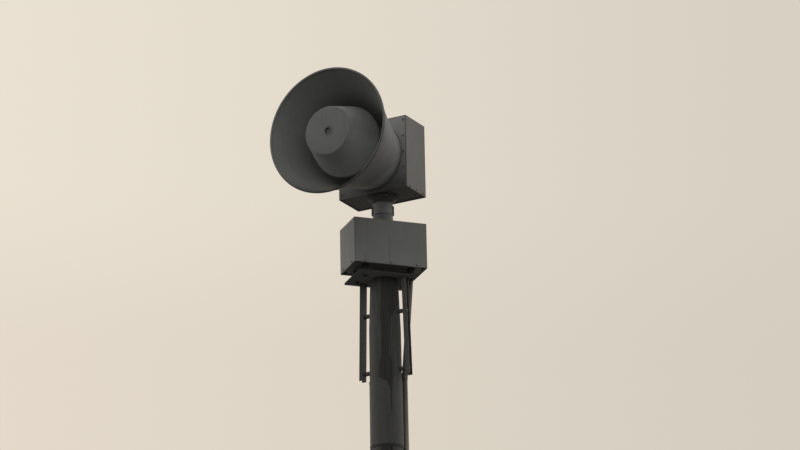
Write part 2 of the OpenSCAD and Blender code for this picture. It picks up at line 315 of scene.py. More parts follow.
def siren_paint(name, level, box=None, light_painted=False, height_shade=None, end=1.0, warm=0.007):
    """Matt grey paint gone chalky: cloudy fading, rain runs, dust on top, painted shade below and worn edges.

    With painted light on, the piece's own numbers say where painted light makes the tone lighter, above 0,
    and painted shade makes it darker, below 0. The height shade is two heights and the tone's share at each,
    painted shade and light by height. Box and end are those of worn_box. Warm leans the grey to red.
    """
    finish = new_finish(name)
    place = finish.place()
    up = finish.upward()
    clouds = finish.noise(place, 3.1, 4.0)
    blots = finish.noise(place, 17.0, 5.0, 0.62)
    streak, pale_run = rain_runs(finish, place, up)
    faded = finish.step(clouds + 0.35 * (blots - 0.5), 0.34, 0.68)
    colour = finish.tint(faded, grey(level * 0.93, warm), grey(level * 1.06, warm))
    colour = finish.tint(0.42 * streak, colour, grey(level * 0.58, 0.01))
    colour = finish.tint(0.20 * pale_run, colour, grey(level * 1.30, 0.02))
    dust = finish.step(up, 0.25, 0.95) * (0.35 + 0.65 * blots)
    colour = finish.tint(0.5 * dust, colour, grey(level * 1.35, 0.05))
    # Painted shade on faces that look down.
    under_shade = 0.30 * finish.step(up, -0.25, -0.9)
    # With painted light on, the piece's values below 0 add painted shade on faces that look down.
    if light_painted:
        painted_light = finish.kept("painted_light")
        darkened = finish.step(painted_light, 0.2, 0.0)
        under_shade = under_shade.most(0.45 * darkened * finish.step(up, 0.05, -0.75))
    colour = finish.tint(under_shade, colour, grey(level * 0.50, 0.01))
    if box:
        colour = worn_box(finish, place, box, end, blots, colour)
    # Painted light and shade from the piece's own numbers.
    if light_painted:
        colour = finish.scaled(colour, 1 + 0.86 * painted_light)
    # Painted shade and painted light by height.
    if height_shade:
        low, high, low_share, high_share = height_shade
        height = finish.step(finish.axis(place, "Z"), low, high)
        colour = finish.scaled(colour, low_share + (high_share - low_share) * height)
    specks = finish.step(finish.noise(place, 95.0, 2.0), 0.70, 0.76)
    colour = finish.tint(0.5 * specks, colour, SPECK_RUST)
    grain = finish.noise(place, 380.0, 2.0)
    rough = 0.58 + 0.16 * blots + 0.10 * streak
    relief = finish.bump(0.6 * grain + 0.8 * blots, 0.22, 0.0015)
    return finish.surface(colour, rough, relief, specular=0.05)


def mount_steel(name, level, below, shine):
    """Dark zinc-coated steel: dull spangle, rust blooms and rain runs.

    Level scales its tones, below takes its place on faces that look down, as painted light where it is above
    the level, and shine scales what it mirrors.
    """
    finish = new_finish(name)
    place = finish.place()
    spangle = finish.axis(finish.cells(place, 110.0), "X")
    clouds = finish.noise(place, 5.0, 5.0, 0.6)
    runs = finish.noise(finish.stretched(place, (40, 40, 1.6)), 1.0, 4.0)
    blooms = finish.noise(place, 21.0, 6.0, 0.66)
    colour = finish.tint(clouds, grey(0.046, -0.004), grey(0.080, 0.0))
    colour = finish.tint(0.22 * spangle, colour, grey(0.115, 0.0))
    rust = finish.step(blooms + 0.3 * (clouds - 0.5), 0.60, 0.74)
    colour = finish.tint(0.62 * rust, colour, STEEL_RUST)
    colour = finish.tint(0.5 * finish.step(runs, 0.58, 0.75), colour, grey(0.030, 0.04))
    # Painted light on faces that look down, where below is above the level.
    underside_light = finish.step(finish.upward(), -0.5, -0.9)
    colour = finish.scaled(colour, level + (below - level) * underside_light)
    rough = 0.52 + 0.22 * rust + 0.12 * clouds
    metal = shine * (0.2 - 0.15 * rust)
    relief = finish.bump(blooms + 0.25 * spangle, 0.35, 0.0012)
    return finish.surface(colour, rough, relief, specular=0.12 * shine, metal=metal)


def bright_steel():
    """Zinc-plated bolts and nuts, paler than the mount, with a little rust."""
    finish = new_finish("bolt_zinc")
    place = finish.place()
    clouds = finish.noise(place, 60.0, 4.0, 0.6)
    rust = finish.step(finish.noise(place, 90.0, 4.0), 0.56, 0.70)
    colour = finish.tint(clouds, grey(0.055, 0.01), grey(0.110, 0.02))
    colour = finish.tint(0.6 * rust, colour, BOLT_RUST)
    rough = 0.48 + 0.2 * rust
    metal = 0.25 - 0.2 * rust
    relief = finish.bump(clouds, 0.25, 0.0006)
    return finish.surface(colour, rough, relief, specular=0.15, metal=metal)


def wrap_sheet():
    """Dull zinc sheet with faint spangle, dents, a tar drip from above and painted shade along its lower
    edge.
    """
    finish = new_finish("wrap_sheet")
    place = finish.place()
    spangle = finish.axis(finish.cells(place, 85.0), "X")
    clouds = finish.noise(place, 6.5, 5.0, 0.6)
    runs = finish.noise(finish.stretched(place, (30, 30, 1.2)), 1.0, 4.0)
    height = finish.axis(place, "Z")
    # Painted shade: a dark band along the wrap's lower edge.
    darkening = finish.step(height, WRAP_LOW + 0.022, WRAP_LOW + 0.006)
    drip = tar_drip(finish, place, height)
    colour = finish.tint(clouds, grey(0.039, -0.004), grey(0.062, 0.0))
    colour = finish.tint(0.14 * spangle, colour, grey(0.090, 0.01))
    colour = finish.tint(0.30 * finish.step(runs, 0.55, 0.72), colour, grey(0.032, 0.01))
    # The tar drip and the painted shade along the lower edge, both dark.
    colour = finish.tint(0.75 * darkening.most(drip), colour, grey(0.016, 0.03))
    rough = 0.46 + 0.22 * clouds
    metal = 0.2 - 0.15 * darkening
    relief = finish.bump(clouds + 0.15 * spangle, 0.30, 0.004)
    return finish.surface(colour, rough, relief, specular=0.12, metal=metal)


def conduit_steel():
    """Dull weathered pipe with rust freckles, darker near the mount."""
    finish = new_finish("conduit_steel")
    place = finish.place()
    clouds = finish.noise(place, 8.0, 5.0, 0.6)
    freckles = finish.step(finish.noise(place, 70.0, 4.0, 0.62), 0.56, 0.72)
    colour = finish.tint(clouds, PIPE_DARK, PIPE_PALE)
    colour = finish.tint(0.6 * freckles, colour, PIPE_RUST)
    dimmed = finish.step(finish.axis(place, "Z"), WRAP_LOW - 0.1, WRAP_HIGH)
    colour = finish.scaled(colour, 1.40 - 0.60 * dimmed)
    rough = 0.54 + 0.2 * freckles
    metal = 0.2 - 0.15 * freckles
    relief = finish.bump(clouds + 0.5 * freckles, 0.3, 0.001)
    return finish.surface(colour, rough, relief, specular=0.15, metal=metal)


def pole_wood():
    """Weathered pole: silver-grey grain drawn out along the pole, checks darkened with painted shade, a tar
    streak that turns to painted shade under the plate, and a damp foot.

    The checks' depth comes from the piece's own numbers.
    """
    damp_low = 0.3
    damp_high = 1.1
    finish = new_finish("pole_wood")
    place = finish.place()
    fibres = finish.noise(finish.stretched(place, (150, 150, 2.2)), 1.0, 5.0, 0.6)
    bands = finish.noise(finish.stretched(place, (28, 28, 0.55)), 1.0, 4.0)
    clouds = finish.noise(place, 2.4, 4.0)
    height = finish.axis(place, "Z")
    colour = finish.tint(bands, grey(0.038, 0.01), grey(0.062, 0.01))
    colour = finish.tint(finish.step(fibres, 0.42, 0.62) * 0.5, colour, grey(0.080, 0.02))
    colour = finish.tint(finish.step(fibres, 0.46, 0.34) * 0.5, colour, grey(0.026, 0.03))
    colour = finish.tint(finish.step(clouds, 0.50, 0.70) * 0.35, colour, WOOD_BROWN)
    streak = tar_streak_and_plate_shade(finish, place, height, fibres)
    # The tar streak, which turns to painted shade under the plate.
    colour = finish.tint(0.64 * streak, colour, grey(0.017, 0.02))
    # Painted shade in the checks: darker the deeper each notch is.
    depth = finish.kept("check_depth")
    colour = finish.tint(finish.step(depth, 0.05, 0.6), colour, grey(0.010, 0.05))
    damp = finish.step(height + 0.3 * clouds, damp_high, damp_low)
    colour = finish.tint(0.5 * damp, colour, WOOD_DAMP)
    rough = 0.74 + 0.14 * fibres
    relief = finish.bump(fibres + 0.5 * bands, 0.55, 0.003)
    return finish.surface(colour, rough, relief, specular=0.10)


def seen_across(finish, place):
    """How far a place lies to the right of the pole's axis on the near side, and 1 on that side only."""
    own = finish.stretched(place, (1, 1, 1), -CAMERA_TURN)
    return finish.axis(own, "X"), finish.step(finish.axis(own, "Y"), 0.0, -0.03)


def tar_streak_and_plate_shade(finish, place, height, fibres):
    """Dark drip stain down the near side of the pole, from the plate to a blot above the wrap.

    It is a band across the pole. Its middle moves to the right and its half width grows towards the plate,
    where it turns to painted shade, and the half width grows again at the blot. Under the plate all is
    painted shade but a pale wedge on the left.
    """
    shade_low = POLE_TOP - 0.12
    across, near = seen_across(finish, place)
    # Towards the plate the band widens into painted shade under it.
    middle = 0.002 + 0.046 * finish.step(height, POLE_TOP - 0.34, shade_low)
    half = 0.031 + 0.042 * finish.step(height, POLE_TOP - 0.38, shade_low)
    half = half + 0.018 * finish.step(height, LEG_LOW + 0.14, LEG_LOW + 0.07)
    ragged = across - middle + 0.030 * (fibres - 0.5)
    band = finish.step(abs(ragged) - half, 0.006, -0.010)
    wedge_half = 0.40 * (POLE_TOP - 0.02 - height)
    wedge = finish.step(abs(across + 0.042) - wedge_half, 0.0, 0.012)
    # Painted shade under the plate, but for the pale wedge.
    top = 0.5 * wedge * finish.step(height, POLE_TOP - 0.16, POLE_TOP - 0.06)
    return near * band.most(top)


def tar_drip(finish, place, height):
    """The blot's lower end on the near side of the wrap: it draws in to one thin drip halfway down."""
    across, near = seen_across(finish, place)
    blot = finish.step(height, WRAP_HIGH - 0.030, WRAP_HIGH - 0.004)
    taper = finish.step(height, WRAP_HIGH - 0.10, WRAP_HIGH - 0.02)
    half = 0.006 + 0.014 * taper + 0.026 * blot
    off_middle = across - 0.036 + 0.008 * taper + 0.022 * blot
    line = finish.step(abs(off_middle) - half, 0.004, -0.004)
    return near * line * finish.step(height, WRAP_HIGH - 0.27, WRAP_HIGH - 0.22)


def grid_faces(rows, cols, close_rows=False):
    """Quads between neighbouring rows and columns of a grid. The columns go round, and the rows if closed."""
    row = np.arange(rows if close_rows else rows - 1)
    row, col = np.meshgrid(row, np.arange(cols), indexing="ij")
    next_row = (row + 1) % rows
    next_col = (col + 1) % cols
    corners = [row * cols + col, row * cols + next_col, next_row * cols + next_col, next_row * cols + col]
    return np.stack(corners, axis=-1).reshape(-1, 4)


def angles_round(cols):
    """Angles of the columns of a grid that goes once round."""
    return np.linspace(0, 2 * math.pi, cols, endpoint=False)


def revolved(profile, cols, sides=None):
    """Points of a profile carried round Z: (r cos a, r sin a, h) for each row (r, h) and each angle a.

    A share of sides above 0 draws its row in from the circle towards a hexagon, whose radius at angle a is
    r cos 30 / cos(a within its 60 degree side).
    """
    profile = np.asarray(profile, dtype=float)
    angle = angles_round(cols)
    radius = np.repeat(profile[:, :1], cols, axis=1)
    if sides is not None:
        within = (angle + math.pi / 6) % (math.pi / 3) - math.pi / 6
        hexagon = math.cos(math.pi / 6) / np.cos(within)
        share = np.asarray(sides, dtype=float)[:, None]
        radius = radius * (1 - share + share * hexagon)
    height = np.repeat(profile[:, 1:], cols, axis=1)
    return np.stack([radius * np.cos(angle), radius * np.sin(angle), height], axis=-1)


def softened(corners, reach, steps=5):
    """A profile whose inner corners are rounded: each becomes a quadratic curve that starts and ends
    at the given reach along its two sides."""
    corners = np.asarray(corners, dtype=float)
    t = np.linspace(0, 1, steps)[:, None]
    rows = [corners[:1]]
    for before, corner, after, size in zip(corners[:-2], corners[1:-1], corners[2:], reach):
        if size == 0:
            rows.append(corner[None])
            continue
        start = corner + (before - corner) / np.linalg.norm(before - corner) * size
        end = corner + (after - corner) / np.linalg.norm(after - corner) * size
        rows.append((1 - t) ** 2 * start + 2 * t * (1 - t) * corner + t ** 2 * end)
    rows.append(corners[-1:])
    return np.concatenate(rows)


def frames_along(directions):
    """For each direction, three unit axes as rows, the last along it."""
    z = np.asarray(directions, dtype=float)
    z = z / np.linalg.norm(z, axis=1, keepdims=True)
    upright = np.abs(z[:, 2:]) > 0.9
    other = np.where(upright, [[1.0, 0.0, 0.0]], [[0.0, 0.0, 1.0]])
    x = np.cross(other, z)
    x = x / np.linalg.norm(x, axis=1, keepdims=True)
    y = np.cross(z, x)
    return np.stack([x, y, z], axis=1)


def stamped(points, faces, origins, directions):
    """A small shape made along +Z, repeated at each origin along each direction."""
    points = points.reshape(-1, 3)
    axes = frames_along(directions)
    copies = np.einsum("pi,kij->kpj", points, axes) + np.asarray(origins, dtype=float)[:, None, :]
    shift = np.arange(len(axes))[:, None, None] * len(points)
    return copies.reshape(-1, 3), (faces[None] + shift).reshape(-1, faces.shape[1])


def joined(shapes):
    """Several (points, faces) shapes as one."""
    starts = np.cumsum([0] + [len(points) for points, _ in shapes])
    points = np.concatenate([points for points, _ in shapes])
    faces = np.concatenate([faces + start for (_, faces), start in zip(shapes, starts)])
    return points, faces


def same_way(way, count):
    """One direction repeated."""
    return np.tile(np.array([way], dtype=float), (count, 1))


def turned(points, angle):
    """Points turned about Z."""
    c = math.cos(angle)
    s = math.sin(angle)
    return np.asarray(points, dtype=float) @ np.array([[c, s, 0], [-s, c, 0], [0, 0, 1]])


def close_poles(mesh):
    """Merges the points of a row that has shrunk to one place, so that the pole is closed."""
    work = bmesh.new()
    work.from_mesh(mesh)
    bmesh.ops.remove_doubles(work, verts=work.verts, dist=1e-6)
    work.to_mesh(mesh)
    work.free()


def add_piece(name, points, faces, finish, body, values=None):
    """Puts a shape into the scene as a piece that rides on a body. Rows that meet in a point are merged.

    Edges sharper than the crease angle stay sharp. Values are numbers kept at each point for the finish.
    """
    crease = math.radians(38)
    mesh = bpy.data.meshes.new(name)
    mesh.from_pydata(points.reshape(-1, 3).tolist(), [], faces.tolist())
    for key, numbers in (values or {}).items():
        mesh.attributes.new(key, "FLOAT", "POINT").data.foreach_set("value", numbers)
    piece = bpy.data.objects.new(name, mesh)
    bpy.context.scene.collection.objects.link(piece)
    close_poles(mesh)
    mesh.polygons.foreach_set("use_smooth", np.ones(len(mesh.polygons), bool))
    mesh.set_sharp_from_angle(angle=crease)
    mesh.materials.append(finish)
    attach(piece, body)
    return piece


def hex_bolt(flats, washer_r=None, cols=24):
    """Hexagon head on a round washer: rows of radius and height, hexagonal above the washer."""
    r = flats / 2 / math.cos(math.pi / 6)
    w = washer_r or flats * 0.95
    t = flats * 0.10
    h = t + flats * 0.62
    profile = [(0, 0), (w, 0), (w, t), (r, t), (r, h - 0.06 * flats), (r * 0.84, h), (0, h)]
    return revolved(profile, cols, [0, 0, 0, 1, 1, 0, 0]), grid_faces(len(profile), cols)


def pan_screw(r, cols):
    """Low round head of a nail or rivet: its height falls off as a quarter ellipse towards its edge."""
    t = np.linspace(0, math.pi / 2, 5)
    dome = np.stack([r * np.cos(t), 0.25 * r + 0.38 * r * np.sin(t)], axis=1)
    profile = np.concatenate([[(0, 0), (r, 0)], dome])
    return revolved(profile, cols), grid_faces(len(profile), cols)


def pole_r(z):
    """Radius of the pole at a height: straight taper to the shoulder, then a quicker one to the top."""
    shoulder = POLE_TOP - TRIM_H
    lower = POLE_FOOT_R + (SHOULDER_R - POLE_FOOT_R) * z / shoulder
    upper = TOP_R + (SHOULDER_R - TOP_R) * (POLE_TOP - z) / TRIM_H
    return np.where(z > shoulder, upper, lower)


def bell_r(reach):
    """Outer radius of the bell at a reach from the head: part straight, part with the reach squared."""
    t = reach / HORN_LEN
    return BELL_REAR_R + (MOUTH_R - BELL_REAR_R) * ((1 - BELL_FLARE) * t + BELL_FLARE * t * t)


def horn_placed(points):
    """Points made along +Z put on the front of the head, pointing out along -Y."""
    axes = np.array([[1.0, 0, 0], [0, 0, 1.0], [0, -1.0, 0]])
    return points @ axes + np.array([0, FRONT_Y, HORN_Z])


def pole_wander(angle, z):
    """How far the pole lies inside its taper: a few sine waves in angle and height, never below 0."""
    size = 0.0009
    turns_round = (2, 3, 5, 9, 14)
    rises = (0.7, 1.9, 3.1, 6.3, 11.0)
    waves = np.zeros(angle.shape)
    for turns, rise, phase in zip(turns_round, rises, rng.uniform(0, 6.28, 5)):
        waves += np.sin(turns * angle + rise * z + phase) / turns
    return size * (waves - waves.min())


def check_depths(column, z, cols):
    """Depth share of the drying checks: notches along columns that swell and fade along the pole."""
    count = 46
    middles = rng.uniform(0.3, POLE_TOP - 0.3, count)
    lengths = rng.uniform(0.5, 2.8, count)
    places = rng.integers(0, cols, count)
    shares = rng.uniform(0.35, 1.0, count)
    depth = np.zeros((len(z), cols))
    for middle, length, where, deep in zip(middles, lengths, places, shares):
        swell = np.clip(1 - ((z - middle) / (length / 2)) ** 2, 0, 1)
        near = np.exp(-((column - where + cols / 2) % cols - cols / 2) ** 2 / 0.35)
        depth = np.maximum(depth, deep * np.sqrt(swell) * near)
    return depth


def pole_skin(finish):
    """Pole with drying checks.

    Radius at angle a and height z is the pole's taper, less a slow wander, less the checks' notches. The
    columns turn slowly with z, as spiral grain does. Both ends are closed by rings that shrink to the axis.
    """
    cols = 140
    check_deep = 0.007
    fine_from = POLE_TOP - 2.6
    lower = np.linspace(0, fine_from, 260, endpoint=False)
    upper = np.linspace(fine_from, POLE_TOP, 270)
    z = np.concatenate([lower, upper])[:, None]
    column = np.arange(cols)[None, :]
    angle = 2 * math.pi * column / cols + 0.09 * np.sin(0.55 * z + 0.8) + 0.02 * np.sin(2.9 * z)
    wander = pole_wander(angle, z)
    depth = check_depths(column, z, cols)
    radius = pole_r(z) - wander - check_deep * depth
    rings = np.array([0.66, 0.33, 0.0])[:, None]
    radius = np.concatenate([radius[:1] * rings[::-1], radius, radius[-1:] * rings])
    angle = np.concatenate([np.repeat(angle[:1], 3, 0), angle, np.repeat(angle[-1:], 3, 0)])
    height = np.concatenate([np.zeros((3, 1)), z, np.full((3, 1), POLE_TOP)])
    points = np.stack([radius * np.cos(angle), radius * np.sin(angle), height + 0 * angle], axis=-1)
    ends = np.zeros((3, cols))
    values = {"check_depth": np.concatenate([ends, depth, ends]).ravel()}
    faces = grid_faces(len(points), cols)
    piece = add_piece("pole_skin", points, faces, finish, "mast", values)
    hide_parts("pole")


def facing(angle, way):
    """1 on the side of the horn that a way looks to, falling to 0 a quarter turn off and beyond."""
    return np.clip(np.cos(angle - way), 0, 1)


def low_side(angle):
    """0 over the upper half of the horn and up to 1 at the bottom."""
    return facing(angle, -math.pi / 2)


def bell_painted_light(forward, angle, inside):
    """How much painted light lifts the bell's paint, above 0, and painted shade lowers it, below 0, at each
    row and column.

    Forward is 0 at the head and 1 at the mouth. Inside, painted light lifts it deep in the bell and at the
    top, and painted shade darkens the mouth's bottom and upper right. Outside painted shade darkens it, but
    for painted light at the bottom next to the head.
    """
    low = low_side(angle)
    top = facing(angle, 1.9) ** 4
    right = facing(angle, 0.6) ** 4
    left = facing(angle, 3.4) ** 2
    deep = 1 - forward
    kept = forward * (0.55 - 1.55 * low ** 2 + 0.42 * top - 0.75 * right) - 0.2 * left
    kept = kept + deep * (1.20 + 0.90 * low + 1.60 * deep * right)
    rear = np.clip(1 - forward / 0.35, 0, 1)
    darkened = -0.22 - 0.40 * low * (2 * forward - 0.8) - 0.16 * facing(angle, -0.3) ** 6
    darkened = darkened + 1.8 * low ** 2 * rear
    return np.where(inside, kept, darkened)


def bell_skin(finish):
    """Spun bell with a rolled rim: its outer line, a round bead at the mouth, and its inner line back.

    The profile is a closed loop carried round the horn's axis. A slight waviness of the sheet, sine waves
    round and along the bell, moves both walls together.
    """
    cols = 176
    wave_share = 0.0011
    front = HORN_LEN - RIM_R
    bead_room = 0.004
    reach = np.linspace(RING_T, front, 56)
    reach = reach[reach < front - bead_room]
    outer = np.stack([bell_r(reach), reach], axis=1)
    inner = np.stack([bell_r(reach) - BELL_T, reach], axis=1)[::-1]
    around = np.linspace(-0.15 * math.pi, 1.15 * math.pi, 15)
    bead_r = MOUTH_R - RIM_R + RIM_R * np.cos(around)
    bead = np.stack([bead_r, front + RIM_R * np.sin(around)], axis=1)
    profile = np.concatenate([outer, bead, inner])
    points = revolved(profile, cols)
    angle = angles_round(cols)[None, :]
    along = profile[:, 1:]
    wave = np.sin(3 * angle + 7 * along + 0.6) + 0.6 * np.sin(7 * angle - 13 * along + 2.1)
    points[:, :, :2] *= 1 - wave_share * (1 + 0.6 * wave)[:, :, None]
    faces = grid_faces(len(profile), cols, close_rows=True)
    inside = np.arange(len(profile))[:, None] > len(outer) + len(bead) // 2
    # Painted light and shade over the bell's paint, inside and out.
    values = {"painted_light": bell_painted_light(along / HORN_LEN, angle, inside).ravel()}
    piece = add_piece("bell_skin", horn_placed(points), faces, finish, "head", values)
    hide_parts("horn_bell")


def cone_painted_light(profile, angle):
    """How much painted light lifts the cone's paint, above 0, and painted shade lowers it, below 0, at each
    row and column.

    Painted light lifts it behind the face, most at the bottom. Painted shade round the hole spreads furthest
    to the lower right.
    """
    r = profile[:, :1]
    behind = np.clip((FACE_L - 0.002 - profile[:, 1:]) / 0.010, 0, 1)
    in_hole = r < HOLE_R + 0.001
    spread = 0.026 + 0.014 * np.cos(angle) - 0.008 * np.sin(angle)
    # Painted shade round the hole.
    darkening = np.clip(1 - (r - HOLE_R) / spread, 0, 1) * np.where(in_hole, 1, 1 - behind)
    return np.where(in_hole, 0, behind) * (1.36 + 2.20 * low_side(angle)) - 0.50 * darkening


def cone_skin(finish):
    """Inner cone with rolled edges: stem end, cone, narrow band, cone in to the flat face, and its deep hole.

    The face has a few rings round the hole, where the painted shade round it fades out.
    """
    cols = 144
    back = FRONT_Y - STEM_FRONT_Y
    wide = FACE_L - CONE_LEN
    end = FACE_L - HOLE_DEPTH
    corners = [
        (0, back), (STEM_R, back), (CONE_R, wide - CONE_EDGE), (CONE_R, wide), (FACE_R, FACE_L),
        (0.060, FACE_L), (0.048, FACE_L), (0.038, FACE_L), (0.029, FACE_L),
        (HOLE_R, FACE_L), (HOLE_R, end), (0, end),
    ]
    profile = softened(corners, [0.004, 0.007, 0.007, 0.007, 0, 0, 0, 0, 0.003, 0.002])
    points = horn_placed(revolved(profile, cols))
    faces = grid_faces(len(profile), cols)
    # Painted light and shade over the cone's paint.
    values = {"painted_light": cone_painted_light(profile, angles_round(cols)).ravel()}
    piece = add_piece("cone_skin", points, faces, finish, "head", values)
    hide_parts("inner_cone", "cone_face")


def hole_plug(finish):
    """Domed plug set back in the hole of the cone's face: its front falls off as a quarter ellipse."""
    cols = 48
    r = HOLE_R - 0.0015
    front = FACE_L - 0.012
    back = front - 0.020
    dome_h = 0.006
    t = np.linspace(0, math.pi / 2, 9)
    dome = np.stack([r * np.cos(t), front + dome_h * np.sin(t)], axis=1)
    profile = np.concatenate([[(0, back), (r, back)], dome])
    points = horn_placed(revolved(profile, cols))
    add_piece("hole_plug", points, grid_faces(len(profile), cols), finish, "head")


def leg_bolts(finish):
    """Through bolts of the mount: a head outside each leg at both heights, square to the leaning leg."""
    flats = 0.024
    washer_r = 0.017
    sunk = 0.0002
    drops = [UPPER_SPACER, POLE_TOP - LEG_LOW - LOWER_SPACER_RISE]
    side, drop = np.meshgrid([-1.0, 1.0], drops, indexing="ij")
    side = side.ravel()
    drop = drop.ravel()
    out = LEG_REACH + drop * math.tan(LEG_SPLAY) + LEG_T / math.cos(LEG_SPLAY) - sunk
    origins = np.stack([side * out, 0 * side, POLE_TOP - drop], axis=1)
    ways = np.stack([side, 0 * side, np.full(len(side), math.tan(LEG_SPLAY))], axis=1)
    shape = hex_bolt(flats, washer_r)
    points, faces = stamped(*shape, turned(origins, LEGS_TURN), turned(ways, LEGS_TURN))
    add_piece("leg_bolts", points, faces, finish, "mast")


def rectangle_corners(half_l, half_w, z):
    """The four corners of a rectangle in the drive box's turned axes."""
    x, y = np.meshgrid([-half_l, half_l], [-half_w, half_w], indexing="ij")
    return turned(np.stack([x.ravel(), y.ravel(), np.full(4, z)], axis=1), DRIVE_TURN)


def box_bolts(finish):
    """Bolts that hold the drive box: heads under the plate below the feet, and under the box's corners."""
    plate_flats = 0.022
    base_flats = 0.016
    inset = 0.028
    down = same_way((0, 0, -1), 4)
    feet = rectangle_corners(FOOT_L / 2, FOOT_W / 2, PLATE_LOW)
    under_plate = stamped(*hex_bolt(plate_flats), feet, down)
    near = rectangle_corners(DRIVE_L / 2 - inset, DRIVE_W / 2 - inset, DRIVE_BASE_LOW)
    under_base = stamped(*hex_bolt(base_flats), near, down)
    points, faces = joined([under_plate, under_base])
    add_piece("box_bolts", points, faces, finish, "mast")


def foot_nuts(finish):
    """Hexagon nuts at the top and bottom of each foot, round its stem."""
    cols = 24
    stem_r = 0.017
    r = 0.027
    h = 0.014
    up = same_way((0, 0, 1), 4)
    profile = [(stem_r, 0), (r, 0), (r, h), (stem_r, h)]
    nut = revolved(profile, cols, [0, 1, 1, 0]), grid_faces(len(profile), cols, close_rows=True)
    lower = stamped(*nut, rectangle_corners(FOOT_L / 2, FOOT_W / 2, PLATE_TOP), up)
    upper = stamped(*nut, rectangle_corners(FOOT_L / 2, FOOT_W / 2, DRIVE_BASE_LOW - h), up)
    points, faces = joined([lower, upper])
    add_piece("foot_nuts", points, faces, finish, "mast")


def cover_screws(finish):
    """Screws through the lower edge of the drive cover, three on each long side and two on each end."""
    z = DRIVE_LOW + 0.014
    side_off = 0.19
    end_off = 0.09
    x = np.tile([-side_off, 0.0, side_off], 2)
    y = np.repeat([-DRIVE_W / 2, DRIVE_W / 2], 3)
    long_side = np.stack([x, y, np.full(6, z)], axis=1)
    long_way = np.stack([0 * x, np.sign(y), 0 * x], axis=1)
    y = np.tile([-end_off, end_off], 2)
    x = np.repeat([-DRIVE_L / 2, DRIVE_L / 2], 2)
    end = np.stack([x, y, np.full(4, z)], axis=1)
    end_way = np.stack([np.sign(x), 0 * x, 0 * x], axis=1)
    origins = turned(np.concatenate([long_side, end]), DRIVE_TURN)
    ways = turned(np.concatenate([long_way, end_way]), DRIVE_TURN)
    points, faces = stamped(*hex_bolt(*SHEET_SCREW), origins, ways)
    add_piece("cover_screws", points, faces, finish, "mast")


def head_screws(finish):
    """Screws of the housing: up both sides of the front panel, and along the foot of the sides and back."""
    half = HEAD_HIGH[0]
    inset = 0.022
    end_inset = 0.030
    side_inset = 0.045
    rear_inset = 0.06
    foot_z = HEAD_LOW[2] + 0.014
    z = np.linspace(HEAD_LOW[2] + end_inset, HEAD_HIGH[2] - end_inset, 5)
    x = np.repeat([-half + inset, half - inset], 5)
    front = np.stack([x, np.full(10, HEAD_LOW[1]), np.tile(z, 2)], axis=1)
    y = np.tile(np.linspace(HEAD_LOW[1] + side_inset, HEAD_HIGH[1] - side_inset, 3), 2)
    x = np.repeat([-half, half], 3)
    sides = np.stack([x, y, np.full(6, foot_z)], axis=1)
    side_way = np.stack([np.sign(x), 0 * x, 0 * x], axis=1)
    x = np.linspace(-half + rear_inset, half - rear_inset, 4)
    rear = np.stack([x, np.full(4, HEAD_HIGH[1]), np.full(4, foot_z)], axis=1)
    origins = np.concatenate([front, sides, rear])
    ways = np.concatenate([same_way((0, -1, 0), 10), side_way, same_way((0, 1, 0), 4)])
    points, faces = stamped(*hex_bolt(*SHEET_SCREW), origins, ways)
    add_piece("head_screws", points, faces, finish, "head")


def neck_bolts(finish):
    """Pinch bolts on both sides of the collar's ears, and a ring of bolts under the flange."""
    flats = 0.013
    pinch_washer_r = 0.0078
    flange_washer_r = 0.009
    cols = 18
    ear_inset = 0.007
    ear_front = 0.022
    pinch_apart = 0.016
    flange_t = 0.012
    x = [ear_inset - EARS_HALF, EARS_HALF - ear_inset]
    x, z = np.meshgrid(x, [EAR_MIDDLE - pinch_apart, EAR_MIDDLE + pinch_apart], indexing="ij")
    origins = np.stack([x.ravel(), np.full(4, -ear_front), COLLAR_LOW + z.ravel()], axis=1)
    origins = np.concatenate([origins, origins * [1, -1, 1]])
    ways = np.concatenate([same_way((0, -1, 0), 4), same_way((0, 1, 0), 4)])
    shape = hex_bolt(flats, pinch_washer_r, cols)
    pinch = stamped(*shape, turned(origins, EARS_TURN), turned(ways, EARS_TURN))
    angle = angles_round(6) + 0.3
    r = FLANGE_R - flange_washer_r
    origins = np.stack([r * np.cos(angle), r * np.sin(angle), np.full(6, FLANGE_HIGH - flange_t)], axis=1)
    ring = stamped(*hex_bolt(flats, flange_washer_r, cols), origins, same_way((0, 0, -1), 6))
    points, faces = joined([pinch, ring])
    add_piece("neck_bolts", points, faces, finish, "head")


def ring_rivets(finish):
    """Rivets round the ring behind the bell."""
    count = 24
    rivet_r = 0.0036
    angle = angles_round(count)
    r = (RING_R + BELL_REAR_R) / 2 + 0.0012
    local = np.stack([r * np.cos(angle), r * np.sin(angle), np.full(count, RING_T)], axis=1)
    points, faces = stamped(*pan_screw(rivet_r, 10), local, same_way((0, 0, 1), count))
    add_piece("ring_rivets", horn_placed(points), faces, finish, "head")


def conduit_point(z):
    """Points on the conduit's axis at some heights: it runs straight, parallel to the pole's lower taper."""
    shoulder = POLE_TOP - TRIM_H
    r = CONDUIT_R + CONDUIT_OFF + POLE_FOOT_R + (SHOULDER_R - POLE_FOOT_R) * z / shoulder
    return np.stack([r * math.cos(DRIVE_TURN), r * math.sin(DRIVE_TURN), z], axis=-1)


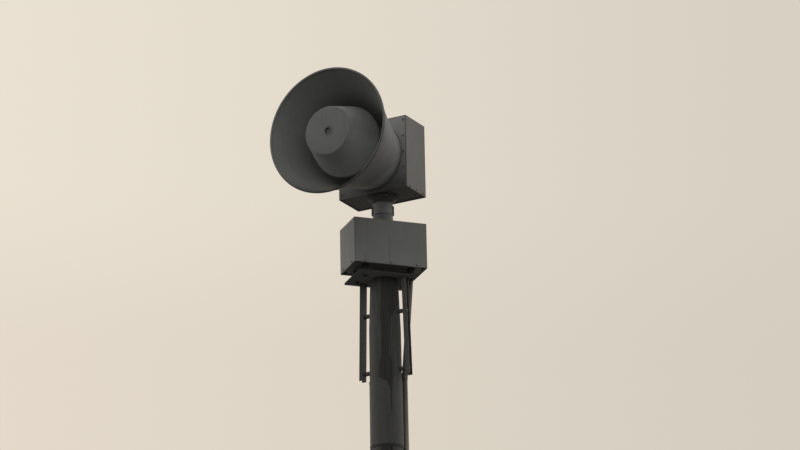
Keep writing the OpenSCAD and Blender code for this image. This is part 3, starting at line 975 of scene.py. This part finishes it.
def conduit_couplings(finish):
    """Pipe couplings on the conduit, one every length of pipe."""
    z = np.array([1.55, 4.6, 7.65, 10.7])
    cols = 36
    wall = 0.0034
    length = 0.058
    bevel = 0.003
    bore = CONDUIT_R - 0.001
    edge = CONDUIT_R + 0.7 * wall
    r = CONDUIT_R + wall
    profile = [(bore, 0), (edge, 0), (r, bevel), (r, length - bevel), (edge, length), (bore, length)]
    coupling = revolved(profile, cols), grid_faces(len(profile), cols, close_rows=True)
    way = conduit_point(np.array([1.0])) - conduit_point(np.array([0.0]))
    points, faces = stamped(*coupling, conduit_point(z), np.repeat(way, len(z), axis=0))
    add_piece("conduit_couplings", points, faces, finish, "mast")


def wrap_seam(seam_turn):
    """The wrap's lapped seam: a flat section of four points carried down the wrap."""
    half = 0.016
    sunk = -0.001
    proud = 0.0012
    rows = np.linspace(WRAP_LOW + 0.002, WRAP_HIGH - 0.002, 24)[:, None]
    wrap_r = pole_r(rows) + 0.0023
    across = np.array([-half, -half, half, half])[None, :]
    lift = np.array([sunk, proud, proud, sunk])[None, :]
    angle = seam_turn + across / wrap_r
    r = wrap_r + lift
    strip = np.stack([r * np.cos(angle), r * np.sin(angle), rows + 0 * r], axis=-1)
    return strip.reshape(-1, 3), grid_faces(len(rows), 4)


def wrap_trim(finish):
    """The wrap's seam down its back left side, with nails along it and round both edges of the wrap."""
    seam_turn = math.radians(150)
    round_count = 14
    seam_count = 7
    nail_r = 0.0055
    edge_inset = 0.015
    seam_inset = 0.05
    angle = np.concatenate([np.tile(angles_round(round_count) + 0.2, 2), np.full(seam_count, seam_turn)])
    edge_z = np.repeat([WRAP_LOW + edge_inset, WRAP_HIGH - edge_inset], round_count)
    seam_z = np.linspace(WRAP_LOW + seam_inset, WRAP_HIGH - seam_inset, seam_count)
    z = np.concatenate([edge_z, seam_z])
    lift = np.concatenate([np.full(2 * round_count, 0.002), np.full(seam_count, 0.0034)])
    way = np.stack([np.cos(angle), np.sin(angle), 0 * angle], axis=1)
    origins = way * (pole_r(z) + lift)[:, None] + np.stack([0 * z, 0 * z, z], axis=1)
    nails = stamped(*pan_screw(nail_r, 10), origins, way)
    points, faces = joined([wrap_seam(seam_turn), nails])
    add_piece("wrap_trim", points, faces, finish, "mast")


def weld_bead(start, end):
    """A round bead from start to end, carried along a straight path.

    Its radius at arc length s is its size times 1 + 0.18 times a sine of s, and falls to 0 at both ends.
    """
    size = 0.0042
    ripple = 0.006
    rows = 60
    cols = 8
    up = np.array([0, 0, 1.0])
    s = np.linspace(0, 1, rows)[:, None]
    around = angles_round(cols)[None, :, None]
    length = np.linalg.norm(end - start)
    path = start + (end - start) * s
    ripples = 1 + 0.18 * np.sin(2 * math.pi * s * length / ripple)
    radius = size * ripples * np.clip(9 * np.minimum(s, 1 - s), 0, 1)
    across = np.cross((end - start) / length, up)
    ring = path[:, None] + radius[:, :, None] * (np.cos(around) * across + np.sin(around) * up)
    return turned(ring, LEGS_TURN).reshape(-1, 3), grid_faces(rows, cols)


def leg_welds(finish):
    """Weld beads between the legs and the plate, along the web and both flanges of each channel."""
    half = LEG_W / 2
    runs = [((0, -half), (0, half)), ((0, half), (LEG_FLANGE, half)), ((0, -half), (LEG_FLANGE, -half))]
    beads = []
    for side in (-1, 1):
        for start, end in runs:
            a = np.array([side * (LEG_REACH + start[0]), start[1], PLATE_LOW])
            b = np.array([side * (LEG_REACH + end[0]), end[1], PLATE_LOW])
            beads.append(weld_bead(a, b))
    points, faces = joined(beads)
    add_piece("leg_welds", points, faces, finish, "mast")


def camera_axes():
    """Right, up and back of the photograph's camera, as unit vectors."""
    right = Vector((math.cos(CAMERA_TURN), math.sin(CAMERA_TURN), 0))
    ahead = math.cos(CAMERA_RISE)
    back = Vector((math.sin(CAMERA_TURN) * ahead, -math.cos(CAMERA_TURN) * ahead, -math.sin(CAMERA_RISE)))
    up = back.cross(right)
    c = math.cos(CAMERA_ROLL)
    s = math.sin(CAMERA_ROLL)
    return c * right + s * up, c * up - s * right, back


def add_camera():
    """Camera far off with a long lens, moved sideways so that the aim point falls on its pixel."""
    right, up, back = camera_axes()
    data = bpy.data.cameras.new("photo_camera")
    data.sensor_width = 36.0
    data.lens = CAMERA_AWAY / METRES_PER_PIXEL / PHOTO_W * data.sensor_width
    data.clip_end = 400.0
    aside = (PHOTO_W / 2 - AIM_PIXEL[0]) * METRES_PER_PIXEL
    below = (PHOTO_H / 2 - AIM_PIXEL[1]) * METRES_PER_PIXEL
    eye = Vector((0, 0, AIM_Z)) + aside * right - below * up + CAMERA_AWAY * back
    camera = bpy.data.objects.new("photo_camera", data)
    camera.matrix_world = Matrix.Translation(eye) @ Matrix((right, up, back)).transposed().to_4x4()
    bpy.context.scene.collection.objects.link(camera)
    bpy.context.scene.camera = camera


def seen_ray(finish):
    """1 for rays that show the background: from the camera, in a reflection or through glass."""
    seen = finish.node("ShaderNodeLightPath", output="Is Camera Ray")
    glossy = finish.node("ShaderNodeLightPath", output="Is Glossy Ray")
    through = finish.node("ShaderNodeLightPath", output="Is Transmission Ray")
    return seen.most(glossy).most(through)


def sky_shown(finish, direction, right, up):
    """The sky that shows: pale and warm, a little lighter to the left and above."""
    aside = finish.step(finish.along(direction, tuple(right)), -0.10, 0.10)
    lift = finish.along(direction, tuple(up))
    high = finish.tint(aside, SKY_HIGH_LEFT, SKY_HIGH_RIGHT)
    low = finish.tint(aside, SKY_LOW_LEFT, SKY_LOW_RIGHT)
    pale = finish.tint(finish.step(lift, 0.010, -0.028), high, low)
    return finish.node("ShaderNodeBackground", None, {"Color": pale, "Strength": 1.0})


def sky_light(finish, direction, back):
    """The soft sky to light by: brightest behind the siren, and brighter near the horizon than overhead."""
    strength = 4.0
    away = Vector((-back.x, -back.y, 0)).normalized()
    behind = finish.along(direction, tuple(away))
    rise = finish.along(direction, (0, 0, 1))
    level = SKY_LEVEL + SKY_BEHIND * behind - SKY_FALL * rise.most(0.0)
    level = finish.step(rise, -0.06, 0.02) * level + GROUND_LIGHT
    tone = finish.tint(finish.step(behind, -0.9, 0.4), (0.965, 1.0, 0.965, 1), (1.0, 0.985, 0.945, 1))
    sockets = {"Color": finish.scaled(tone, level / strength), "Strength": strength}
    return finish.node("ShaderNodeBackground", None, sockets)


def add_sky():
    """One sky to look at and another to light by."""
    world = bpy.data.worlds.new("pale_sky")
    bpy.context.scene.world = world
    finish = Finish(world)
    direction = finish.node("ShaderNodeTexCoord", output="Generated")
    right, up, back = camera_axes()
    light = sky_light(finish, direction, back)
    shown = sky_shown(finish, direction, right, up)
    both = finish.node("ShaderNodeMixShader", None, {0: seen_ray(finish), 1: light, 2: shown})
    finish.node("ShaderNodeOutputWorld", None, {"Surface": both})


def floor_finish():
    """Pale and faintly cloudy to look at. It sends little light back up, as dark ground does."""
    finish = new_finish("pale_floor")
    clouds = finish.noise(finish.place(), 0.5, 2.0)
    pale = finish.tint(clouds, (0.455, 0.425, 0.370, 1), (0.475, 0.445, 0.388, 1))
    shown = finish.node("ShaderNodeBsdfDiffuse", None, {"Color": pale})
    dark = finish.node("ShaderNodeBsdfDiffuse", None, {"Color": (0.050, 0.049, 0.046, 1)})
    both = finish.node("ShaderNodeMixShader", None, {0: seen_ray(finish), 1: dark, 2: shown})
    finish.node("ShaderNodeOutputMaterial", None, {"Surface": both})
    return finish.owner


def add_floor():
    """Wide round floor just below the pole's foot."""
    cols = 96
    drop = 0.004
    rings = np.array([(45.0, -drop), (12.0, -drop), (2.0, -drop), (0.0, -drop)])
    points = revolved(rings, cols)
    mesh = bpy.data.meshes.new("floor")
    mesh.from_pydata(points.reshape(-1, 3).tolist(), [], grid_faces(len(rings), cols).tolist())
    close_poles(mesh)
    mesh.materials.append(floor_finish())
    floor = bpy.data.objects.new("floor", mesh)
    bpy.context.scene.collection.objects.link(floor)


def make_finishes():
    """All finishes by name. The shares of the paint differ by part as painted light and shade."""
    drive_box = (DRIVE_L / 2, DRIVE_W / 2, DRIVE_LOW, DRIVE_HIGH, DRIVE_TURN)
    head_box = (HEAD_HIGH[0], HEAD_HIGH[1], HEAD_LOW[2], HEAD_HIGH[2], 0.0)
    # Painted shade at the front panel's foot under the horn, painted light above it.
    front_shade = (HEAD_LOW[2] + 0.02, HEAD_LOW[2] + 0.17, 0.80, 1.50)
    return {
        # The drive's far end has painted shade.
        "drive": siren_paint("drive_paint", PAINT, drive_box, end=0.80, warm=0.018),
        # A lighter copy of the paint for the base: painted light on a part in shade.
        "base": siren_paint("base_paint", 1.7 * PAINT),
        # A darker copy for the head: painted shade where the light falls full on it.
        "head": siren_paint("head_paint", 0.80 * PAINT, head_box, warm=0.030),
        "front": siren_paint("front_paint", PAINT, head_box, height_shade=front_shade),
        # A darker copy for the neck flange and the hole's plug: painted shade.
        "dimmed": siren_paint("shaded_paint", 0.54 * PAINT),
        "horn": siren_paint("horn_paint", PAINT, light_painted=True),
        "cone": siren_paint("cone_paint", 0.84 * PAINT, light_painted=True),
        # Lighter copies for the throat stem and the neck: painted light on parts in shade.
        "throat": siren_paint("throat_paint", 1.4 * PAINT),
        "neck": siren_paint("neck_paint", 1.25 * PAINT),
        "bearing": siren_paint("bearing_paint", 0.9 * PAINT),
        "mount": mount_steel("mount_steel", 1.0, 1.0, 1.0),
        "leg": mount_steel("leg_steel", 0.76, 0.76, 0.9),
        # The plate is darker with painted light on its undersides; the pan has painted light on its
        # undersides.
        "plate": mount_steel("plate_steel", 0.55, 3.5, 0.0),
        "pan": mount_steel("pan_steel", 1.1, 1.35, 0.2),
        "bolts": bright_steel(),
        "wrap": wrap_sheet(),
        "conduit": conduit_steel(),
        "wood": pole_wood(),
    }


def dress_nodes(finishes):
    """Gives each CAD node its finish. Those not named here are parts of the mount."""
    worn = {
        "pole": "wood", "pole_wrap": "wrap", "riser_conduit": "conduit", "conduit_straps": "conduit",
        "drive_cover": "drive", "drive_base": "base", "bearing": "bearing",
        "mount_plate": "plate", "leg_left": "leg",
        "neck_pipe": "neck", "neck_collar": "neck", "neck_flange": "dimmed",
        "head_shell": "head", "head_front": "front", "head_base": "pan",
        "throat_ring": "horn", "horn_bell": "horn", "throat_stem": "throat",
        "inner_cone": "cone", "cone_face": "cone",
    }
    worn.update({name: "plate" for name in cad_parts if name.startswith("foot_")})
    for name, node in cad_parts.items():
        node.data.materials.clear()
        node.data.materials.append(finishes[worn.get(name, "mount")])


def add_pieces(finishes):
    """Adds the pieces that the scene makes, each with its finish."""
    makers = [
        (pole_skin, "wood"), (bell_skin, "horn"), (cone_skin, "cone"), (hole_plug, "dimmed"),
        (leg_bolts, "bolts"), (box_bolts, "plate"), (foot_nuts, "plate"), (cover_screws, "drive"),
        (head_screws, "head"), (neck_bolts, "neck"), (ring_rivets, "horn"), (conduit_couplings, "conduit"),
        (wrap_trim, "wrap"), (leg_welds, "mount"),
    ]
    for make, name in makers:
        make(finishes[name])


add_camera()
add_sky()
add_floor()
finishes = make_finishes()
dress_nodes(finishes)
add_pieces(finishes)
bpy.context.scene.view_settings.view_transform = "Standard"
